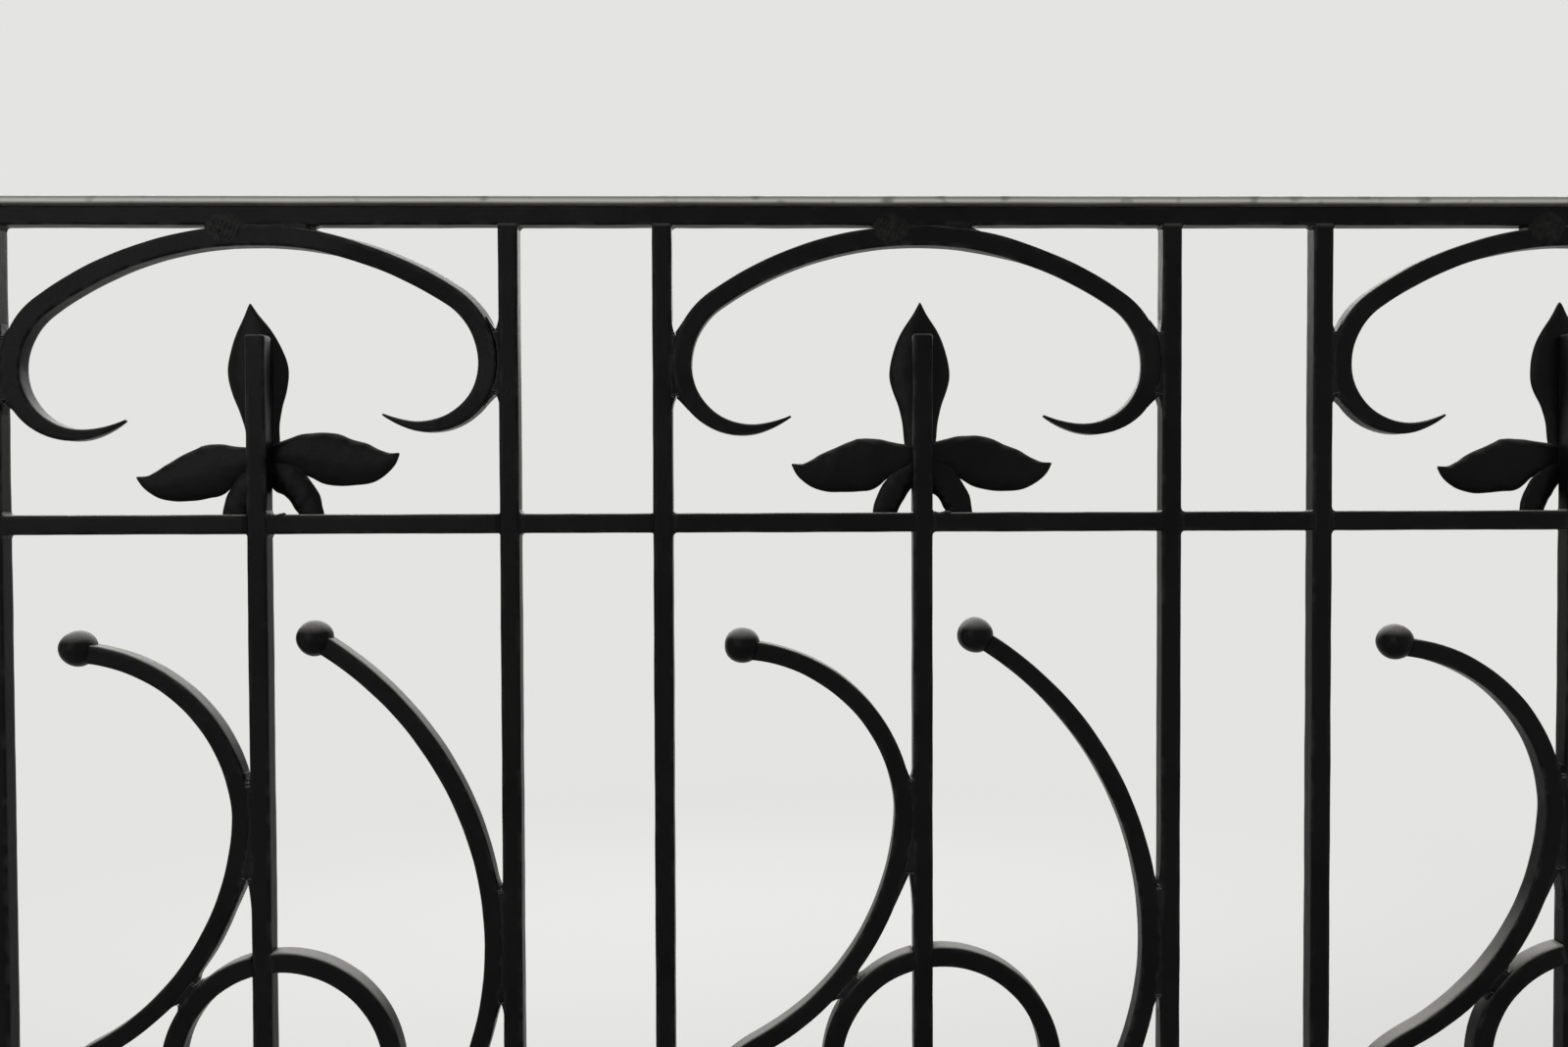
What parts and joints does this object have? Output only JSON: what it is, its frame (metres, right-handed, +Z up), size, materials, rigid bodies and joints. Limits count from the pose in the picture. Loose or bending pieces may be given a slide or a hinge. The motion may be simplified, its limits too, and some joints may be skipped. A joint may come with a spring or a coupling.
{
  "type": "iron balcony railing",
  "caption": "Black iron balcony railing: square bars, ball-ended scrolls, rings, tapered tendrils and sheet-iron flowers under a flat handrail strip, on bolted foot plates.",
  "frame": {"origin": "underside of the middle foot plate, on the ground, in the middle of the railing's length and of its bars' thickness", "axes": "+X along the railing to the right as seen from the room, +Y out to the street, +Z up"},
  "size_m": [1.614, 0.07, 1.1],
  "materials": {
    "bar_paint": "old semi-gloss black oil paint, brushed over iron bars",
    "handrail_paint": "mid-grey iron strip, its paint rubbed smooth and thin by hands",
    "scroll_paint": "old semi-gloss black oil paint over forged bars",
    "flower_paint": "black paint on hammered sheet iron, a little more worn",
    "foot_paint": "black paint on plate iron"
  },
  "bodies": {
    "root": {"handrail": "handrail_paint", "top_rail": "bar_paint", "middle_rail": "bar_paint", "bottom_rail": "bar_paint", "end_post_left": "bar_paint", "end_post_right": "bar_paint", "bay_bar_1": "bar_paint", "bay_bar_2": "bar_paint", "bay_bar_3": "bar_paint", "bay_bar_4": "bar_paint", "bay_bar_5": "bar_paint", "bay_bar_6": "bar_paint", "stem_1": "bar_paint", "stem_2": "bar_paint", "stem_3": "bar_paint", "tendril_left_1": "scroll_paint", "tendril_left_2": "scroll_paint", "tendril_left_3": "scroll_paint", "tendril_right_1": "scroll_paint", "tendril_right_2": "scroll_paint", "tendril_right_3": "scroll_paint", "flower_1": "flower_paint", "flower_2": "flower_paint", "flower_3": "flower_paint", "scroll_left_1": "scroll_paint", "scroll_left_2": "scroll_paint", "scroll_left_3": "scroll_paint", "scroll_right_1": "scroll_paint", "scroll_right_2": "scroll_paint", "scroll_right_3": "scroll_paint", "ring_1": "scroll_paint", "ring_2": "scroll_paint", "ring_3": "scroll_paint", "foot_1": "foot_paint", "foot_2": "foot_paint", "foot_3": "foot_paint", "foot_4": "foot_paint", "foot_5": "foot_paint"}
  },
  "joints": []
}
